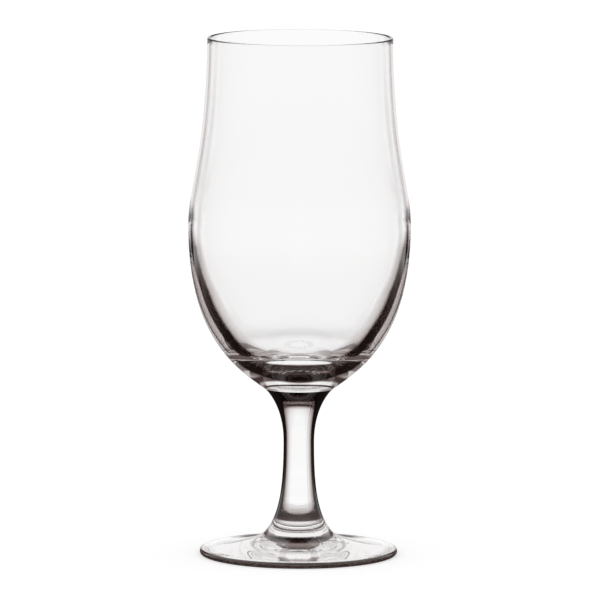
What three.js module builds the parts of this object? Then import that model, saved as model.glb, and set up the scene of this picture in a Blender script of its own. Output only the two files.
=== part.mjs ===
// Stemmed beer glass: a tulip bowl on a waisted stem and a round foot, all in clear soda-lime glass.
// The three pieces are fused on flat weld discs, where they meet face to face.
// Millimetres, +Z up. The origin is the centre of the circle that the foot rests on.
import * as THREE from "three";

// Foot
const FOOT_RADIUS = 40; // widest, at the nose of the edge
const FOOT_EDGE_THICKNESS = 2.6; // the edge is a full round
const FOOT_HEIGHT = 8.5; // from the table up to the stem's weld
const FOOT_TOP_REACH = 14; // how far the thin part of the disc runs in before it turns up
const FOOT_TOP_RISE = 1.7; // how much the disc's top climbs over that reach
const FOOT_WELD_SLOPE = 33; // degrees from level, where the disc meets the stem in a crease
const FOOT_WELD_REACH = 5;
const BEARING_OUTER_RADIUS = 38; // flat ring that touches the table
const BEARING_INNER_RADIUS = 34.5;
const PUNT_HEIGHT = 1.5; // hollow under the middle of the foot

// Stem
const STEM_LENGTH = 59.3; // weld to weld
const STEM_WAIST_RADIUS = 6.2; // thinnest part
const STEM_WAIST_HEIGHT = 37.4; // above the foot's weld
const STEM_FOOT_RADIUS = 14.2; // at the foot's weld
const STEM_FOOT_SLOPE = 46; // degrees from level, where the stem's flare lands on the foot
const STEM_FOOT_REACH = 9; // how soon the flare turns away from that slope
const STEM_WAIST_REACH_DOWN = 19.8; // how far the waist runs straight, below and above its middle
const STEM_WAIST_REACH_UP = 13.8;
const STEM_TOP_RADIUS = 14.2; // at the bowl's weld
const STEM_TOP_SLOPE = 35; // degrees from level
const STEM_TOP_REACH = 2.2;

// Bowl, outside. Heights are above the stem's weld.
const BOWL_HEIGHT = 142.2;
const BOWL_RIM_RADIUS = 37.5;
const BOWL_BELLY_RADIUS = 45; // the widest part of the glass
const BOWL_BELLY_HEIGHT = 66.5;
const BOWL_BASE_REACH = 15.5; // the run of the flare under the bowl, at the weld
const BOWL_BELLY_REACH_DOWN = 44.4; // roundness of the belly, below and above its widest line
const BOWL_BELLY_REACH_UP = 14.4;
const BOWL_RIM_REACH = 42.5; // how far the chimney runs straight below the rim

// Bowl, inside. The wall is thin at the rim and thickens into a solid base that holds no liquid.
const RIM_WALL = 1.3; // the lip is a full round of this thickness
const BELLY_WALL = 1.6;
const BASE_THICKNESS = 15.6; // from the weld to the middle of the bowl's floor
const INNER_BELLY_RAISE = 3.7; // the hollow is widest a little above the belly
const INNER_BELLY_REACH_UP = 11.5;
const INNER_BELLY_REACH_DOWN = 8.6;
const INNER_RIM_REACH = 43.5;
const FLOOR_REACH = 21; // how far the floor runs nearly flat from its middle
const FLOOR_EDGE_RADIUS = 27.6; // a point on the round corner between floor and wall
const FLOOR_EDGE_HEIGHT = 19.6; // above the weld
const FLOOR_EDGE_SLOPE = 51; // degrees from level, at that point
const FLOOR_EDGE_REACH_UP = 27.2; // how straight the wall climbs from there
const FLOOR_EDGE_REACH_DOWN = 5; // how soon the corner turns into the floor

// Facets
const SIDES = 64; // round each piece
const BOWL_STEPS = 13; // along each of the bowl's curves
const BASE_STEPS = 14;
const FLOOR_STEPS = 9;
const STEM_STEPS = 9;
const FOOT_STEPS = 9;
const PUNT_STEPS = 5;
const EDGE_STEPS = 6; // round the foot's edge
const LIP_STEPS = 4;

const footWeldZ = FOOT_HEIGHT;
const stemWaistZ = footWeldZ + STEM_WAIST_HEIGHT;
const bowlWeldZ = footWeldZ + STEM_LENGTH;
const rimZ = bowlWeldZ + BOWL_HEIGHT;

// A point of a profile: distance from the axis, and height.
function at(radius, z) {
  return new THREE.Vector2(radius, z);
}

// The point that lies a given length from another, at an angle from level.
function along(point, degrees, length) {
  const angle = THREE.MathUtils.degToRad(degrees);
  return at(point.x + length * Math.cos(angle), point.y + length * Math.sin(angle));
}

// Points of a curve that leaves one point towards a handle and comes into the other from its own.
function bend(from, fromHandle, toHandle, to, steps) {
  return new THREE.CubicBezierCurve(from, fromHandle, toHandle, to).getPoints(steps);
}

// Points of a half circle from one angle to another, in degrees, 0 pointing outwards.
function halfRound(centre, radius, fromDegrees, toDegrees, steps) {
  const points = [];
  for (let i = 0; i <= steps; i++) {
    points.push(along(centre, THREE.MathUtils.lerp(fromDegrees, toDegrees, i / steps), radius));
  }
  return points;
}

// One profile from several stretches, each of which starts where the last one ends.
function joined(...stretches) {
  return stretches.flatMap((points, i) => (i === 0 ? points : points.slice(1)));
}

// Clear glass with the finish of a fire-polished or a pressed surface.
function clearGlass(colour, roughness) {
  return new THREE.MeshStandardMaterial({
    color: colour,
    roughness,
    metalness: 0,
    transparent: true,
    opacity: 0.35,
  });
}

// A solid of revolution about the Z axis, from a profile that starts and ends on the axis.
function turned(name, profile, material) {
  const geometry = new THREE.LatheGeometry(profile, SIDES);
  geometry.rotateX(Math.PI / 2);
  const mesh = new THREE.Mesh(geometry, material);
  mesh.name = name;
  return mesh;
}

// The foot: a shallow punt, a flat ring to stand on, a round edge, and a top that sweeps up to the weld.
function footProfile() {
  const edgeRadius = FOOT_EDGE_THICKNESS / 2;
  const edgeCentre = at(FOOT_RADIUS - edgeRadius, edgeRadius);
  const weld = at(STEM_FOOT_RADIUS, footWeldZ);
  const bearingInner = at(BEARING_INNER_RADIUS, 0);
  const punt = bend(
    at(0, PUNT_HEIGHT),
    at(BEARING_INNER_RADIUS / 2, PUNT_HEIGHT),
    along(bearingInner, 180, BEARING_INNER_RADIUS / 4),
    bearingInner,
    PUNT_STEPS,
  );
  const bearing = [bearingInner, at(Math.min(BEARING_OUTER_RADIUS, edgeCentre.x), 0)];
  const edge = [bearing[1], ...halfRound(edgeCentre, edgeRadius, -90, 90, EDGE_STEPS).slice(1)];
  const edgeTop = edge[edge.length - 1];
  const top = bend(
    edgeTop,
    at(edgeTop.x - FOOT_TOP_REACH, edgeTop.y + FOOT_TOP_RISE),
    along(weld, -FOOT_WELD_SLOPE, FOOT_WELD_REACH),
    weld,
    FOOT_STEPS,
  );
  return joined(punt, bearing, edge, top, [weld, at(0, footWeldZ)]);
}

// The stem: solid, flared at both ends and thinnest above its middle.
function stemProfile() {
  const footEnd = at(STEM_FOOT_RADIUS, footWeldZ);
  const waist = at(STEM_WAIST_RADIUS, stemWaistZ);
  const bowlEnd = at(STEM_TOP_RADIUS, bowlWeldZ);
  const lower = bend(
    footEnd,
    along(footEnd, 180 - STEM_FOOT_SLOPE, STEM_FOOT_REACH),
    along(waist, -90, STEM_WAIST_REACH_DOWN),
    waist,
    STEM_STEPS,
  );
  const upper = bend(
    waist,
    along(waist, 90, STEM_WAIST_REACH_UP),
    along(bowlEnd, 180 + STEM_TOP_SLOPE, STEM_TOP_REACH),
    bowlEnd,
    STEM_STEPS,
  );
  return joined([at(0, footWeldZ), footEnd], lower, upper, [bowlEnd, at(0, bowlWeldZ)]);
}

// The bowl: a shell open at the top, with a thick solid base over the weld.
function bowlProfile() {
  const weld = at(STEM_TOP_RADIUS, bowlWeldZ);
  const belly = at(BOWL_BELLY_RADIUS, bowlWeldZ + BOWL_BELLY_HEIGHT);
  const lipCentre = at(BOWL_RIM_RADIUS - RIM_WALL / 2, rimZ - RIM_WALL / 2);
  const lip = halfRound(lipCentre, RIM_WALL / 2, 0, 180, LIP_STEPS);
  const outerRim = lip[0];
  const innerRim = lip[lip.length - 1];
  const innerBelly = at(BOWL_BELLY_RADIUS - BELLY_WALL, belly.y + INNER_BELLY_RAISE);
  const floor = at(0, bowlWeldZ + BASE_THICKNESS);
  const floorEdge = at(FLOOR_EDGE_RADIUS, bowlWeldZ + FLOOR_EDGE_HEIGHT);
  const outside = joined(
    bend(
      weld,
      along(weld, STEM_TOP_SLOPE, BOWL_BASE_REACH),
      along(belly, -90, BOWL_BELLY_REACH_DOWN),
      belly,
      BASE_STEPS,
    ),
    bend(
      belly,
      along(belly, 90, BOWL_BELLY_REACH_UP),
      along(outerRim, -90, BOWL_RIM_REACH),
      outerRim,
      BOWL_STEPS,
    ),
  );
  const inside = joined(
    bend(
      innerRim,
      along(innerRim, -90, INNER_RIM_REACH),
      along(innerBelly, 90, INNER_BELLY_REACH_UP),
      innerBelly,
      BOWL_STEPS,
    ),
    bend(
      innerBelly,
      along(innerBelly, -90, INNER_BELLY_REACH_DOWN),
      along(floorEdge, FLOOR_EDGE_SLOPE, FLOOR_EDGE_REACH_UP),
      floorEdge,
      BASE_STEPS,
    ),
    bend(
      floorEdge,
      along(floorEdge, FLOOR_EDGE_SLOPE + 180, FLOOR_EDGE_REACH_DOWN),
      along(floor, 0, FLOOR_REACH),
      floor,
      FLOOR_STEPS,
    ),
  );
  return joined([at(0, bowlWeldZ), weld], outside, lip, inside);
}

const glass = new THREE.Group();
glass.name = "stemmed_beer_glass";
glass.add(turned("foot", footProfile(), clearGlass(0xf2f4f3, 0.06)));
glass.add(turned("stem", stemProfile(), clearGlass(0xf2f4f3, 0.05)));
glass.add(turned("bowl", bowlProfile(), clearGlass(0xf5f7f6, 0.03)));

export default glass;
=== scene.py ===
"""Stemmed beer glass on a pale floor: a tulip bowl, a waisted stem and a round foot in clear soda-lime glass.

Blender units are metres. The glass stands on the origin and its axis is +Z. Sizes below are in millimetres.
"""

import math

import bmesh
import bpy
from mathutils import Matrix, Vector
from mathutils.geometry import interpolate_bezier


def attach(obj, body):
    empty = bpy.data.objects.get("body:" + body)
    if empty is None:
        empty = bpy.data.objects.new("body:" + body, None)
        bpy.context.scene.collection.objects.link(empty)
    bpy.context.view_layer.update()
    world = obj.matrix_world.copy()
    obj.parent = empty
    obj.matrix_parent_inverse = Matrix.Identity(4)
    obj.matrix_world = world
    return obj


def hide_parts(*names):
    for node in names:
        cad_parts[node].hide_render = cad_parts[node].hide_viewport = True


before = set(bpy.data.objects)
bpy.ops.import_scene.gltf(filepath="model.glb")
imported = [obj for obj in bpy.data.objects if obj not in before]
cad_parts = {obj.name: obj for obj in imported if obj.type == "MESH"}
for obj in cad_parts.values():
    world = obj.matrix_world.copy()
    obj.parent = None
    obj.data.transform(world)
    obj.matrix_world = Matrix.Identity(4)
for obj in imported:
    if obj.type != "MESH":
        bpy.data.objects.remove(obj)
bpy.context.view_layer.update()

MM = 0.001

# Foot
FOOT_RADIUS = 40.0
FOOT_EDGE_THICKNESS = 2.6
FOOT_HEIGHT = 8.5
FOOT_TOP_REACH = 14.0
FOOT_TOP_RISE = 1.7
FOOT_WELD_SLOPE = 33.0
FOOT_WELD_REACH = 5.0
BEARING_OUTER_RADIUS = 38.0
BEARING_INNER_RADIUS = 34.5
PUNT_HEIGHT = 1.5

# Stem
STEM_LENGTH = 59.3
STEM_WAIST_RADIUS = 6.2
STEM_WAIST_HEIGHT = 37.4
STEM_FOOT_RADIUS = 14.2
STEM_FOOT_SLOPE = 46.0
STEM_FOOT_REACH = 9.0
STEM_WAIST_REACH_DOWN = 19.8
STEM_WAIST_REACH_UP = 13.8
STEM_TOP_RADIUS = 14.2
STEM_TOP_SLOPE = 35.0
STEM_TOP_REACH = 2.2

# Bowl, outside and inside. Heights are above the stem's weld.
BOWL_HEIGHT = 142.2
BOWL_RIM_RADIUS = 37.5
BOWL_BELLY_RADIUS = 45.0
BOWL_BELLY_HEIGHT = 66.5
BOWL_BASE_REACH = 15.5
BOWL_BELLY_REACH_DOWN = 44.4
BOWL_BELLY_REACH_UP = 14.4
BOWL_RIM_REACH = 42.5
RIM_WALL = 1.3
BELLY_WALL = 1.6
BASE_THICKNESS = 15.6
INNER_BELLY_RAISE = 3.7
INNER_BELLY_REACH_UP = 11.5
INNER_BELLY_REACH_DOWN = 8.6
INNER_RIM_REACH = 43.5
FLOOR_REACH = 21.0
FLOOR_EDGE_RADIUS = 27.6
FLOOR_EDGE_HEIGHT = 19.6
FLOOR_EDGE_SLOPE = 51.0
FLOOR_EDGE_REACH_UP = 27.2
FLOOR_EDGE_REACH_DOWN = 5.0

# How finely the pieces are turned
SIDES = 192
LONG_STEPS = 60
SHORT_STEPS = 28
ROUND_STEPS = 12
WELD_TOLERANCE = 1e-7  # metres

FOOT_WELD = FOOT_HEIGHT
STEM_WAIST = FOOT_WELD + STEM_WAIST_HEIGHT
BOWL_WELD = FOOT_WELD + STEM_LENGTH
RIM = BOWL_WELD + BOWL_HEIGHT

# Mould seams down the stem and over the foot, one at this azimuth in degrees and one opposite
SEAM_AZIMUTH = -60
SEAM_HEIGHT = 0.08
SEAM_HALF_WIDTH = 0.25
SEAM_FADE = 1.5
SEAM_REACH = 24.0
SEAM_LOWEST_NORMAL = -0.5  # the foot's underside has no seam

# Etched mark on the bowl's floor, which makes the beer sparkle: two rings of dashes
ETCH_RADII = (5.5, 4.3)
ETCH_HALF_WIDTH = 0.38
ETCH_DASHES = (16, 11)
ETCH_DASH_START = -0.3  # a dash lies where the wave round the ring is above this
ETCH_ROUGHNESS = 0.5
ETCH_FROM_ABOVE = 0.3  # how strong it is from above, with 1 for through the base

GLASS_IOR = 1.52

# Painted shade in the glass's colour, which stands in for the dark that the bent light shows. A stop is a
# place, and how much light the painted shade lets through there, 1 for clear. The place is a height or a
# distance from the axis, in metres, or a slant, 0 where the glass is seen square on and 1 where it is seen
# edge on, or how far the outward normal falls or rises from level. Stops named HEIGHTS, FALLS, SLANTS or
# RISES give by place how strongly the shades before them count.

# The stem's painted shade: dark sides above the lower flare, a dark band at its foot, and a dark cap with a
# light line across it
STEM_PAINTED_SHADES = ((0.1, 1.0), (0.2, 0.7), (0.3, 0.25), (0.4, 0.0))
STEM_PAINTED_SHADE_HEIGHTS = ((0.0135, 0.0), (0.016, 1.0))
STEM_FOOT_PAINTED_BAND = ((0.0142, 1.0), (0.015, 0.03), (0.0175, 0.03), (0.0185, 0.3), (0.0205, 1.0))
STEM_CAP_PAINTED_BANDS = ((0.06, 1.0), (0.0618, 0.01), (0.0624, 0.1), (0.063, 0.8), (0.0637, 0.001), (0.0678, 0.001))

# The bowl's wall below the belly: painted shade in a dark band, a lighter strip and a dark edge line, by its
# slant. The slant is raised with the wall's fall, and lowered where the wall is thin and has hardly turned
# under.
WALL_SLANT_RAISE = 0.3
WALL_PAINTED_SHADES = (
    (0.45, 1.0), (0.55, 0.6), (0.6, 0.02), (0.72, 0.02), (0.75, 0.6), (0.86, 0.5), (0.9, 0.05), (0.96, 1.0),
)
WALL_PAINTED_SHADE_FALLS = ((0.0, 0.0), (0.05, 1.0), (0.59, 1.0), (0.605, 0.0))
THIN_WALL_FALL = 0.2
THIN_WALL_SLANT = 0.5

# The bowl's solid base, painted dark in zones, where the slant is raised further with the fall
BASE_PAINTED_SHADES = ((0.48, 1.0), (0.52, 0.5), (0.67, 0.5), (0.71, 0.04), (0.9, 0.04), (0.95, 1.0))
BASE_PAINTED_SHADE_FALLS = ((0.637, 0.0), (0.648, 1.0), (0.785, 1.0), (0.8, 0.0))
BASE_SLANT_RAISE = 2.5
BASE_RAISE_START = 0.705

# Painted shade on light that the hollow's floor has mirrored, where it leaves the base: by height, and how
# strongly by slant
LEAVING_PAINTED_SHADES = ((0.0757, 1.0), (0.0763, 0.08), (0.079, 0.08), (0.0798, 1.0))
LEAVING_SLANTS = ((0.1, 0.0), (0.115, 1.0), (0.165, 1.0), (0.18, 0.0))

# The foot's painted shade: a dark ring under the weld, by height and slant, and a dark nose on its edge, by
# distance and rise
RING_PAINTED_SHADES = ((0.0065, 1.0), (0.007, 0.003), (0.0085, 0.003))
RING_SLANTS = ((0.45, 1.0), (0.7, 0.0))
NOSE_PAINTED_SHADES = ((0.0378, 1.0), (0.0386, 0.004))
NOSE_RISES = ((0.85, 1.0), (0.95, 0.0))

# Studio. A bright backdrop stands behind the glass, dark cards stand at both sides of it, and the rest is
# pale. Levels are grey, 1 for white. What the glass shows depends on how the light went through it:
# straight, by a reflection off its outside, or by one, two, a few, many or very many reflections inside.
# Each way has stops for the sky, by degrees above level, and for the floor, by metres from the axis. A stop
# has its levels on the backdrop, on the cards, at the sides and towards the camera, and the last one given
# holds for the rest.
SKY_LEVELS = {
    "straight": ((0, 1.0), (26, 1.0), (32, 0.5), (36, 0.05)),
    "outside": (
        (0, 1.0, 0.5, 1.0, 0.65), (4, 1.0, 0.2, 1.0, 0.65), (8, 1.0, 0.04, 1.0, 0.65),
        (24, 1.0, 0.04, 1.0, 0.65), (32, 1.0), (90, 0.9),
    ),
    "once": (
        (0, 1.0, 0.5, 1.0, 0.65), (4, 1.0, 0.2, 1.0, 0.65), (8, 1.0, 0.04, 1.0, 0.65),
        (10.5, 0.04, 0.04, 0.5, 0.65), (16, 0.02, 0.02, 0.02, 0.65), (26, 0.02, 0.02, 0.02, 0.65),
        (31, 0.18, 0.18, 0.18, 0.65), (50, 0.25, 0.25, 0.25, 0.65), (70, 0.15), (80, 0.3),
    ),
    "twice": (
        (0, 0.9, 0.03, 0.05), (10, 0.9, 0.03, 0.03), (16, 0.03), (48, 0.1), (52, 1.0), (58, 1.0), (62, 0.02),
    ),
    "few": (
        (0, 0.9, 0.3), (20, 0.9, 0.3), (26, 0.9), (34, 0.9), (38, 0.9, 0.4), (46, 0.9, 0.4), (51, 0.03),
        (59, 0.03), (63, 1.0), (73, 1.0), (80, 0.04),
    ),
    "many": ((0, 0.85), (20, 0.85), (26, 0.1), (90, 0.1)),
    "guided": ((0, 0.85), (90, 0.85)),
}
# Painted shadow: for several ways the floor's glow is darker under and close round the glass, where its
# shadow falls
FLOOR_LEVELS = {
    "straight": ((0, 1.0), (0.07, 1.0)),
    "outside": (
        (0, 0.3, 0.03), (0.3, 0.8, 0.03, 0.03, 0.1), (0.45, 1.0, 0.03, 0.1, 0.35),
        (0.7, 1.0, 0.03, 1.0, 0.65), (1.1, 1.0, 0.03, 1.0, 0.65), (1.6, 1.0, 0.5, 1.0, 0.65),
        (3.0, 1.0, 0.6, 1.0, 0.65),
    ),
    "once": (
        (0, 0.05), (0.011, 0.08), (0.016, 0.6), (0.03, 0.5), (0.036, 0.05), (0.055, 1.0, 0.05, 0.05, 0.52),
        (0.45, 1.0, 0.03, 0.1, 0.52), (0.7, 1.0, 0.03, 1.0, 0.65), (1.1, 1.0, 0.03, 1.0, 0.65),
        (1.6, 1.0, 0.5, 1.0, 0.65), (3.0, 1.0, 0.6, 1.0, 0.65),
    ),
    "twice": ((0, 0.05), (0.3, 0.05)),
    "few": ((0, 0.85), (0.05, 0.85), (0.1, 0.8, 0.08), (0.45, 1.0, 0.05, 0.1), (0.7, 1.0, 0.03, 0.8)),
    "many": ((0, 0.85), (0.036, 0.85), (0.038, 0.05), (0.055, 0.05), (0.07, 0.8)),
    "guided": ((0, 0.85), (0.3, 0.85)),
}

# Where the backdrop, the cards and the sides end, in degrees from straight behind the glass. What the glass
# mirrors on its outside has edges of its own.
STUDIO_EDGES = (23, 38, 50)
OUTSIDE_EDGES = (14, 37, 50)
EDGE_SOFTNESS = 4.0

# The ways through the glass by the most reflections inside it. A test of such a count is made half-way to
# the next one.
LIGHT_BOUNCES = 32
INSIDE_WAYS = (("once", 1), ("twice", 2), ("few", 6), ("many", 13), ("guided", LIGHT_BOUNCES))
HALF_WAY = 0.5

# A dark level is a little warm: these powers of it are its red, green and blue
WARM_POWERS = (0.9, 1.02, 1.05)

# The white dome that the camera sees and that lights the floor, and the floor's grey paper, whose glow lifts
# it to white and leaves the shadow
DOME_LEVEL = 1.0
FLOOR_SHADE = 0.6
FLOOR_LIFT = 0.46
FLOOR_RADIUS = 4.0
FLOOR_SIDES = 96

# Camera, in metres and degrees, with its lens and sensor in millimetres
CAMERA_DISTANCE = 3.0
CAMERA_HEIGHT = 0.4799
CAMERA_SIDE = 0.00028
CAMERA_PITCH = 7.15
CAMERA_ROLL = 0.2
CAMERA_LENS = 449.43
CAMERA_SENSOR = 36


def at(radius, z):
    """A point of a profile: distance from the axis, and height."""
    return Vector((radius, 0, z))


def along(point, degrees, length):
    """The point that lies a given length from another, at an angle from level."""
    angle = math.radians(degrees)
    return point + length * at(math.cos(angle), math.sin(angle))


def bend(start, start_handle, end_handle, end, steps):
    """Points of a curve that leaves one point towards a handle and comes into the other from its own."""
    return interpolate_bezier(start, start_handle, end_handle, end, steps + 1)


def half_round(centre, radius, start, end, steps):
    """Points of a half circle from one angle to another, in degrees, 0 pointing outwards."""
    return [along(centre, start + (end - start) * i / steps, radius) for i in range(steps + 1)]


def foot_profile():
    """A shallow punt, a flat ring to stand on, a round edge, and a top that sweeps up to the weld."""
    edge_radius = FOOT_EDGE_THICKNESS / 2
    edge_centre = at(FOOT_RADIUS - edge_radius, edge_radius)
    weld = at(STEM_FOOT_RADIUS, FOOT_WELD)
    bearing_inner = at(BEARING_INNER_RADIUS, 0)
    punt = bend(
        at(0, PUNT_HEIGHT),
        at(BEARING_INNER_RADIUS / 2, PUNT_HEIGHT),
        along(bearing_inner, 180, BEARING_INNER_RADIUS / 4),
        bearing_inner,
        SHORT_STEPS,
    )
    bearing = [at(min(BEARING_OUTER_RADIUS, edge_centre.x), 0)]
    edge = half_round(edge_centre, edge_radius, -90, 90, ROUND_STEPS)
    top = bend(
        edge[-1],
        at(edge[-1].x - FOOT_TOP_REACH, edge[-1].z + FOOT_TOP_RISE),
        along(weld, -FOOT_WELD_SLOPE, FOOT_WELD_REACH),
        weld,
        SHORT_STEPS,
    )
    return punt + bearing + edge[1:] + top[1:] + [at(0, FOOT_WELD)]


def stem_profile():
    """Solid, flared at both ends and thinnest above its middle."""
    foot_end = at(STEM_FOOT_RADIUS, FOOT_WELD)
    waist = at(STEM_WAIST_RADIUS, STEM_WAIST)
    bowl_end = at(STEM_TOP_RADIUS, BOWL_WELD)
    lower = bend(
        foot_end,
        along(foot_end, 180 - STEM_FOOT_SLOPE, STEM_FOOT_REACH),
        along(waist, -90, STEM_WAIST_REACH_DOWN),
        waist,
        SHORT_STEPS,
    )
    upper = bend(
        waist,
        along(waist, 90, STEM_WAIST_REACH_UP),
        along(bowl_end, 180 + STEM_TOP_SLOPE, STEM_TOP_REACH),
        bowl_end,
        SHORT_STEPS,
    )
    return [at(0, FOOT_WELD)] + lower + upper[1:] + [at(0, BOWL_WELD)]


def bowl_profile():
    """A shell open at the top, with a thick solid base over the weld."""
    weld = at(STEM_TOP_RADIUS, BOWL_WELD)
    belly = at(BOWL_BELLY_RADIUS, BOWL_WELD + BOWL_BELLY_HEIGHT)
    lip_centre = at(BOWL_RIM_RADIUS - RIM_WALL / 2, RIM - RIM_WALL / 2)
    lip = half_round(lip_centre, RIM_WALL / 2, 0, 180, ROUND_STEPS)
    inner_belly = at(BOWL_BELLY_RADIUS - BELLY_WALL, belly.z + INNER_BELLY_RAISE)
    floor = at(0, BOWL_WELD + BASE_THICKNESS)
    floor_edge = at(FLOOR_EDGE_RADIUS, BOWL_WELD + FLOOR_EDGE_HEIGHT)
    base = bend(
        weld,
        along(weld, STEM_TOP_SLOPE, BOWL_BASE_REACH),
        along(belly, -90, BOWL_BELLY_REACH_DOWN),
        belly,
        LONG_STEPS,
    )
    chimney = bend(
        belly,
        along(belly, 90, BOWL_BELLY_REACH_UP),
        along(lip[0], -90, BOWL_RIM_REACH),
        lip[0],
        LONG_STEPS,
    )
    chimney_inside = bend(
        lip[-1],
        along(lip[-1], -90, INNER_RIM_REACH),
        along(inner_belly, 90, INNER_BELLY_REACH_UP),
        inner_belly,
        LONG_STEPS,
    )
    wall_inside = bend(
        inner_belly,
        along(inner_belly, -90, INNER_BELLY_REACH_DOWN),
        along(floor_edge, FLOOR_EDGE_SLOPE, FLOOR_EDGE_REACH_UP),
        floor_edge,
        LONG_STEPS,
    )
    floor_inside = bend(
        floor_edge,
        along(floor_edge, FLOOR_EDGE_SLOPE + 180, FLOOR_EDGE_REACH_DOWN),
        along(floor, 0, FLOOR_REACH),
        floor,
        SHORT_STEPS,
    )
    outside = [at(0, BOWL_WELD)] + base + chimney[1:] + lip[1:]
    return outside + chimney_inside[1:] + wall_inside[1:] + floor_inside[1:]


def smooth_step(x):
    """An even climb from 0 to 1 as x does."""
    x = min(max(x, 0), 1)
    return x * x * (3 - 2 * x)


def raise_seams(bm, welds):
    """Lifts a fine ridge on two opposite sides, where the mould's halves met. It fades out at the welds."""
    step = 360 / SIDES
    moves = []
    for vertex in bm.verts:
        radius = vertex.co.xy.length / MM
        if radius < SEAM_HALF_WIDTH or radius > SEAM_REACH or vertex.normal.z < SEAM_LOWEST_NORMAL:
            continue
        azimuth = math.degrees(math.atan2(vertex.co.y, vertex.co.x))
        off = (azimuth - SEAM_AZIMUTH + 90) % 180 - 90
        near_weld = min(abs(vertex.co.z / MM - z) for z in welds) / SEAM_FADE
        near_end = (SEAM_REACH - radius) / SEAM_FADE
        if abs(off) < step / 2:
            height = SEAM_HEIGHT * smooth_step(near_weld) * smooth_step(near_end)
            moves.append((vertex, vertex.co + vertex.normal * height * MM))
        elif abs(off) < step * 1.5:
            edge = math.degrees(SEAM_HALF_WIDTH / radius)
            turn = math.copysign(max(abs(off) - edge, 0), -off)
            moves.append((vertex, Matrix.Rotation(math.radians(turn), 3, "Z") @ vertex.co))
    for vertex, place in moves:
        vertex.co = place


def turned(name, profile, welds, surface, weld_surface, seams=False):
    """A closed piece of glass spun from its profile, with a clear disc at each height where it is welded."""
    mesh = bpy.data.meshes.new(name)
    bm = bmesh.new()
    points = [bm.verts.new(p * MM) for p in profile]
    outline = [bm.edges.new(pair) for pair in zip(points, points[1:])]
    bmesh.ops.spin(
        bm,
        geom=points + outline,
        axis=(0, 0, 1),
        cent=(0, 0, 0),
        dvec=(0, 0, 0),
        angle=math.tau,
        steps=SIDES,
        use_merge=True,
        use_duplicate=False,
    )
    bmesh.ops.remove_doubles(bm, verts=bm.verts[:], dist=WELD_TOLERANCE)
    bmesh.ops.recalc_face_normals(bm, faces=bm.faces[:])
    for face in bm.faces:
        at_weld = all(any(abs(v.co.z - z * MM) < WELD_TOLERANCE for z in welds) for v in face.verts)
        face.smooth = not at_weld
        face.material_index = int(at_weld)
    for edge in bm.edges:
        if len({face.material_index for face in edge.link_faces}) > 1:
            edge.smooth = False
    if seams:
        bm.normal_update()
        raise_seams(bm, welds)
    bm.to_mesh(mesh)
    bm.free()
    mesh.materials.append(surface)
    mesh.materials.append(weld_surface)
    piece = bpy.data.objects.new(name, mesh)
    bpy.context.scene.collection.objects.link(piece)
    return piece


def material(name):
    """A new node material, with its tree and its output."""
    made = bpy.data.materials.new(name)
    made.use_nodes = True
    made.node_tree.nodes.clear()
    return made, made.node_tree, made.node_tree.nodes.new("ShaderNodeOutputMaterial")


def math_node(tree, operation, *sources):
    """The result of a sum, product, comparison or the like. Each source is a socket or a number."""
    node = tree.nodes.new("ShaderNodeMath")
    node.operation = operation
    for socket, source in zip(node.inputs, sources):
        if isinstance(source, bpy.types.NodeSocket):
            tree.links.new(source, socket)
        else:
            socket.default_value = source
    return node.outputs[0]


def graded(tree, source, stops, column=1):
    """A grey level that follows a value through the given stops, which have it in the given column."""
    low, high = stops[0][0], stops[-1][0]
    share = tree.nodes.new("ShaderNodeMapRange")
    share.inputs["From Min"].default_value = low
    share.inputs["From Max"].default_value = high
    tree.links.new(source, share.inputs["Value"])
    ramp = tree.nodes.new("ShaderNodeValToRGB")
    elements = ramp.color_ramp.elements
    while len(elements) < len(stops):
        elements.new(1)
    for element, stop in zip(elements, stops):
        level = stop[min(column, len(stop) - 1)]
        element.position = (stop[0] - low) / (high - low)
        element.color = (level, level, level, 1)
    tree.links.new(share.outputs[0], ramp.inputs[0])
    return ramp.outputs[0]


def glass_shader(tree, output):
    """Smooth clear glass."""
    glass = tree.nodes.new("ShaderNodeBsdfPrincipled")
    glass.inputs["Base Color"].default_value = (1, 1, 1, 1)
    glass.inputs["Roughness"].default_value = 0.0
    glass.inputs["IOR"].default_value = GLASS_IOR
    glass.inputs["Transmission Weight"].default_value = 1.0
    tree.links.new(glass.outputs[0], output.inputs["Surface"])
    return glass


def coordinates(tree, output):
    """The three parts of a place or a direction on the piece: its Object coordinates or its Normal."""
    place = tree.nodes.new("ShaderNodeTexCoord")
    parts = tree.nodes.new("ShaderNodeSeparateXYZ")
    tree.links.new(place.outputs[output], parts.inputs[0])
    return parts.outputs


def shaded(tree, level, strength):
    """White, or the level where the strength is 1."""
    shade = tree.nodes.new("ShaderNodeMix")
    tree.links.new(strength, shade.inputs["Factor"])
    shade.inputs["A"].default_value = 1.0
    tree.links.new(level, shade.inputs["B"])
    return shade.outputs["Result"]


def from_outside(tree):
    """1 where light enters the glass, and 0 where it leaves it."""
    side = tree.nodes.new("ShaderNodeNewGeometry")
    return math_node(tree, "SUBTRACT", 1.0, side.outputs["Backfacing"])


def slant_of(tree):
    """The slant that the glass is seen at, 0 for square on and 1 for edge on."""
    return tree.nodes.new("ShaderNodeLayerWeight").outputs["Facing"]


def warmed(tree, level):
    """A grey level as a colour: white is neutral, and the darker it is the warmer."""
    colour = tree.nodes.new("ShaderNodeCombineColor")
    for socket, power in zip(colour.inputs, WARM_POWERS):
        tree.links.new(math_node(tree, "POWER", level, power), socket)
    return colour.outputs[0]


def distance_from_axis(tree):
    x, y, _ = coordinates(tree, "Object")
    squared = math_node(tree, "MULTIPLY_ADD", x, x, math_node(tree, "MULTIPLY", y, y))
    return math_node(tree, "SQRT", squared)


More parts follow.
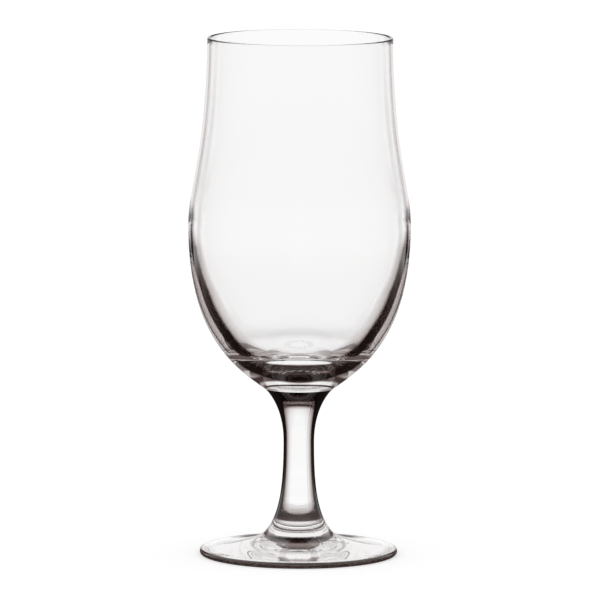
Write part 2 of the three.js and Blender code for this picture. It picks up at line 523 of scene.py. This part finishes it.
def foot_glass():
    """Clear pressed glass, with painted shade in its colour: a dark ring under the weld and a dark round
    nose.
    """
    made, tree, output = material("foot_glass")
    glass = glass_shader(tree, output)
    outside = from_outside(tree)
    # Painted shade: a dark nose round the foot's edge and a dark ring under the weld darken the glass's
    # colour
    by_rise = math_node(tree, "MULTIPLY", graded(tree, coordinates(tree, "Normal")[2], NOSE_RISES), outside)
    nose = shaded(tree, graded(tree, distance_from_axis(tree), NOSE_PAINTED_SHADES), by_rise)
    by_slant = math_node(tree, "MULTIPLY", graded(tree, slant_of(tree), RING_SLANTS), outside)
    ring = shaded(tree, graded(tree, coordinates(tree, "Object")[2], RING_PAINTED_SHADES), by_slant)
    tree.links.new(warmed(tree, math_node(tree, "MULTIPLY", nose, ring)), glass.inputs["Base Color"])
    return made


def stem_glass():
    """Clear glass, solid and round, with painted shade in its colour where its sides and flare bend the light
    far.
    """
    made, tree, output = material("stem_glass")
    glass = glass_shader(tree, output)
    height = coordinates(tree, "Object")[2]
    # Painted shade: dark sides by slant, and dark bands at the stem's foot and cap, darken the glass's colour
    sides = shaded(tree, graded(tree, slant_of(tree), STEM_PAINTED_SHADES), graded(tree, height, STEM_PAINTED_SHADE_HEIGHTS))
    foot_band = graded(tree, height, STEM_FOOT_PAINTED_BAND)
    bands = math_node(tree, "MULTIPLY", foot_band, graded(tree, height, STEM_CAP_PAINTED_BANDS))
    bands = shaded(tree, bands, from_outside(tree))
    tree.links.new(warmed(tree, math_node(tree, "MULTIPLY", sides, bands)), glass.inputs["Base Color"])
    return made


def etched_rings(tree):
    """1 on the dashes of the mark and 0 on clear glass, from the place on the bowl's floor."""
    x, y, z = coordinates(tree, "Object")
    radius = distance_from_axis(tree)
    azimuth = math_node(tree, "ARCTAN2", y, x)
    rings = []
    for ring_radius, dashes in zip(ETCH_RADII, ETCH_DASHES):
        on_ring = math_node(tree, "COMPARE", radius, ring_radius * MM, ETCH_HALF_WIDTH * MM)
        wave = math_node(tree, "SINE", math_node(tree, "MULTIPLY", azimuth, dashes))
        on_dash = math_node(tree, "GREATER_THAN", wave, ETCH_DASH_START)
        rings.append(math_node(tree, "MULTIPLY", on_ring, on_dash))
    inside = math_node(tree, "GREATER_THAN", z, (BOWL_WELD + BASE_THICKNESS / 2) * MM)
    return math_node(tree, "MULTIPLY", math_node(tree, "MAXIMUM", *rings), inside)


def painted_wall_shade(tree):
    """The painted shade on the bowl's outside: dark bands on the thick wall and the base, and on light
    leaving the base.
    """
    slant = slant_of(tree)
    height = coordinates(tree, "Object")[2]
    below_belly = math_node(tree, "LESS_THAN", height, (BOWL_WELD + BOWL_BELLY_HEIGHT) * MM)
    down = math_node(tree, "MULTIPLY", below_belly, -1.0)
    fall = math_node(tree, "MULTIPLY", coordinates(tree, "Normal")[2], down)
    raised = math_node(tree, "MULTIPLY_ADD", fall, WALL_SLANT_RAISE, slant)
    thin = math_node(tree, "MINIMUM", math_node(tree, "SUBTRACT", fall, THIN_WALL_FALL), 0.0)
    wall_slant = math_node(tree, "MULTIPLY_ADD", thin, THIN_WALL_SLANT, raised)
    wall = shaded(tree, graded(tree, wall_slant, WALL_PAINTED_SHADES), graded(tree, fall, WALL_PAINTED_SHADE_FALLS))
    under = math_node(tree, "MAXIMUM", math_node(tree, "SUBTRACT", fall, BASE_RAISE_START), 0.0)
    base_slant = math_node(tree, "MULTIPLY_ADD", under, BASE_SLANT_RAISE, raised)
    base = shaded(tree, graded(tree, base_slant, BASE_PAINTED_SHADES), graded(tree, fall, BASE_PAINTED_SHADE_FALLS))
    # Painted shade on light that the hollow's floor mirrored, where it leaves the base
    mirrored = tree.nodes.new("ShaderNodeLightPath").outputs["Is Reflection Ray"]
    leaving = math_node(tree, "MULTIPLY", math_node(tree, "SUBTRACT", 1.0, from_outside(tree)), mirrored)
    leaving = math_node(tree, "MULTIPLY", leaving, graded(tree, slant, LEAVING_SLANTS))
    painted_leaving_shade = shaded(tree, graded(tree, height, LEAVING_PAINTED_SHADES), leaving)
    return math_node(tree, "MULTIPLY", math_node(tree, "MULTIPLY", wall, base), painted_leaving_shade)


def bowl_glass():
    """Clear glass with painted shade in bands below the belly, and the mark etched in the hollow's floor."""
    made, tree, output = material("bowl_glass")
    glass = glass_shader(tree, output)
    # The painted shade of the wall and the base darkens the glass's colour
    passes = painted_wall_shade(tree)
    by_its_root = math_node(tree, "MULTIPLY", passes, passes)
    tree.links.new(warmed(tree, by_its_root), glass.inputs["Base Color"])
    seen = math_node(tree, "MULTIPLY_ADD", from_outside(tree), ETCH_FROM_ABOVE - 1, 1.0)
    etch = math_node(tree, "MULTIPLY", etched_rings(tree), seen)
    tree.links.new(math_node(tree, "SUBTRACT", 1.0, etch), glass.inputs["Transmission Weight"])
    tree.links.new(math_node(tree, "MULTIPLY", etch, ETCH_ROUGHNESS), glass.inputs["Roughness"])
    return made


def fused_weld():
    """Where two pieces are fused, light goes straight on from one into the other."""
    made, tree, output = material("fused_weld")
    clear = tree.nodes.new("ShaderNodeBsdfTransparent")
    tree.links.new(clear.outputs[0], output.inputs["Surface"])
    return made


def ray_ways(tree):
    """How a ray came: for each way 1 if it came so and 0 if not, and 1 if the glass showed it at all."""
    path = tree.nodes.new("ShaderNodeLightPath")
    mirrored = path.outputs["Glossy Depth"]
    entered = math_node(tree, "GREATER_THAN", path.outputs["Transmission Depth"], HALF_WAY)
    straight = math_node(tree, "LESS_THAN", mirrored, HALF_WAY)
    ways = {"straight": straight}
    below = straight
    for way, most in INSIDE_WAYS:
        up_to = math_node(tree, "LESS_THAN", mirrored, most + HALF_WAY)
        ways[way] = math_node(tree, "MULTIPLY", math_node(tree, "SUBTRACT", up_to, below), entered)
        below = up_to
    mirrored_once = math_node(tree, "SUBTRACT", 1.0, straight)
    ways["outside"] = math_node(tree, "MULTIPLY", mirrored_once, math_node(tree, "SUBTRACT", 1.0, entered))
    by_glass = math_node(tree, "MAXIMUM", path.outputs["Is Glossy Ray"], path.outputs["Is Transmission Ray"])
    return ways, by_glass


def shone(tree, ways, measure, place, levels):
    """The light that each way finds at a place, by a measure of it and by how far round the glass it lies."""
    parts = tree.nodes.new("ShaderNodeSeparateXYZ")
    tree.links.new(place, parts.inputs[0])
    azimuth = math_node(tree, "ABSOLUTE", math_node(tree, "ARCTAN2", parts.outputs["X"], parts.outputs["Y"]))
    turns = {}
    for edge in STUDIO_EDGES + OUTSIDE_EDGES:
        turn = tree.nodes.new("ShaderNodeMapRange")
        turn.interpolation_type = "SMOOTHSTEP"
        turn.inputs["From Min"].default_value = math.radians(edge - EDGE_SOFTNESS / 2)
        turn.inputs["From Max"].default_value = math.radians(edge + EDGE_SOFTNESS / 2)
        tree.links.new(azimuth, turn.inputs["Value"])
        turns[edge] = turn.outputs[0]
    total = 0.0
    for way, stops in levels.items():
        level = graded(tree, measure, stops, 1)
        edges = OUTSIDE_EDGES if way == "outside" else STUDIO_EDGES
        for column, edge in zip(range(2, max(map(len, stops))), edges):
            shift = tree.nodes.new("ShaderNodeMix")
            tree.links.new(turns[edge], shift.inputs["Factor"])
            tree.links.new(level, shift.inputs["A"])
            tree.links.new(graded(tree, measure, stops, column), shift.inputs["B"])
            level = shift.outputs["Result"]
        total = math_node(tree, "ADD", total, math_node(tree, "MULTIPLY", ways[way], level))
    return total


def floor_paper():
    """Pale paper that the glass's shadow falls on, and the studio's floor where the glass shows it, as a glow
    with a painted shadow near the glass.
    """
    made, tree, output = material("floor_paper")
    ways, by_glass = ray_ways(tree)
    place = tree.nodes.new("ShaderNodeTexCoord")
    distance = tree.nodes.new("ShaderNodeVectorMath")
    distance.operation = "LENGTH"
    tree.links.new(place.outputs["Object"], distance.inputs[0])
    paper = tree.nodes.new("ShaderNodeBsdfDiffuse")
    paper.inputs["Color"].default_value = (FLOOR_SHADE, FLOOR_SHADE, FLOOR_SHADE, 1)
    lift = tree.nodes.new("ShaderNodeEmission")
    lift.inputs["Strength"].default_value = FLOOR_LIFT
    seen_plain = tree.nodes.new("ShaderNodeAddShader")
    tree.links.new(paper.outputs[0], seen_plain.inputs[0])
    tree.links.new(lift.outputs[0], seen_plain.inputs[1])
    glow = tree.nodes.new("ShaderNodeEmission")
    level = shone(tree, ways, distance.outputs["Value"], place.outputs["Object"], FLOOR_LEVELS)
    tree.links.new(warmed(tree, level), glow.inputs["Color"])
    seen = tree.nodes.new("ShaderNodeMixShader")
    tree.links.new(by_glass, seen.inputs[0])
    tree.links.new(seen_plain.outputs[0], seen.inputs[1])
    tree.links.new(glow.outputs[0], seen.inputs[2])
    tree.links.new(seen.outputs[0], output.inputs["Surface"])
    return made


def studio_floor():
    mesh = bpy.data.meshes.new("studio_floor")
    bm = bmesh.new()
    bmesh.ops.create_circle(bm, cap_ends=True, segments=FLOOR_SIDES, radius=FLOOR_RADIUS)
    bm.to_mesh(mesh)
    bm.free()
    mesh.materials.append(floor_paper())
    floor = bpy.data.objects.new("studio_floor", mesh)
    bpy.context.scene.collection.objects.link(floor)


def studio_world():
    """A white dome, and the studio's walls where the glass shows them."""
    world = bpy.data.worlds.new("studio")
    world.use_nodes = True
    tree = world.node_tree
    tree.nodes.clear()
    output = tree.nodes.new("ShaderNodeOutputWorld")
    background = tree.nodes.new("ShaderNodeBackground")
    ways, by_glass = ray_ways(tree)
    place = tree.nodes.new("ShaderNodeTexCoord")
    parts = tree.nodes.new("ShaderNodeSeparateXYZ")
    tree.links.new(place.outputs["Generated"], parts.inputs[0])
    height = math_node(tree, "DEGREES", math_node(tree, "ARCSINE", parts.outputs["Z"]))
    level = tree.nodes.new("ShaderNodeMix")
    level.inputs["A"].default_value = DOME_LEVEL
    tree.links.new(by_glass, level.inputs["Factor"])
    tree.links.new(shone(tree, ways, height, place.outputs["Generated"], SKY_LEVELS), level.inputs["B"])
    tree.links.new(warmed(tree, level.outputs["Result"]), background.inputs["Color"])
    tree.links.new(background.outputs[0], output.inputs["Surface"])
    bpy.context.scene.world = world


def camera():
    data = bpy.data.cameras.new("camera")
    data.lens = CAMERA_LENS
    data.sensor_width = CAMERA_SENSOR
    made = bpy.data.objects.new("camera", data)
    pitch = Matrix.Rotation(math.radians(90 - CAMERA_PITCH), 4, "X")
    roll = Matrix.Rotation(math.radians(CAMERA_ROLL), 4, "Z")
    made.matrix_world = Matrix.Translation((CAMERA_SIDE, -CAMERA_DISTANCE, CAMERA_HEIGHT)) @ pitch @ roll
    bpy.context.scene.collection.objects.link(made)
    bpy.context.scene.camera = made


weld = fused_weld()
foot = turned("glass_foot", foot_profile(), [FOOT_WELD], foot_glass(), weld, seams=True)
stem = turned("glass_stem", stem_profile(), [FOOT_WELD, BOWL_WELD], stem_glass(), weld, seams=True)
bowl = turned("glass_bowl", bowl_profile(), [BOWL_WELD], bowl_glass(), weld)
for piece, node in ((foot, "foot"), (stem, "stem"), (bowl, "bowl")):
    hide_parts(node)
    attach(piece, "root")

studio_floor()
studio_world()
camera()

scene = bpy.context.scene
scene.view_settings.view_transform = "Standard"
scene.cycles.max_bounces = LIGHT_BOUNCES
scene.cycles.transmission_bounces = LIGHT_BOUNCES
scene.cycles.glossy_bounces = LIGHT_BOUNCES
scene.cycles.transparent_max_bounces = LIGHT_BOUNCES
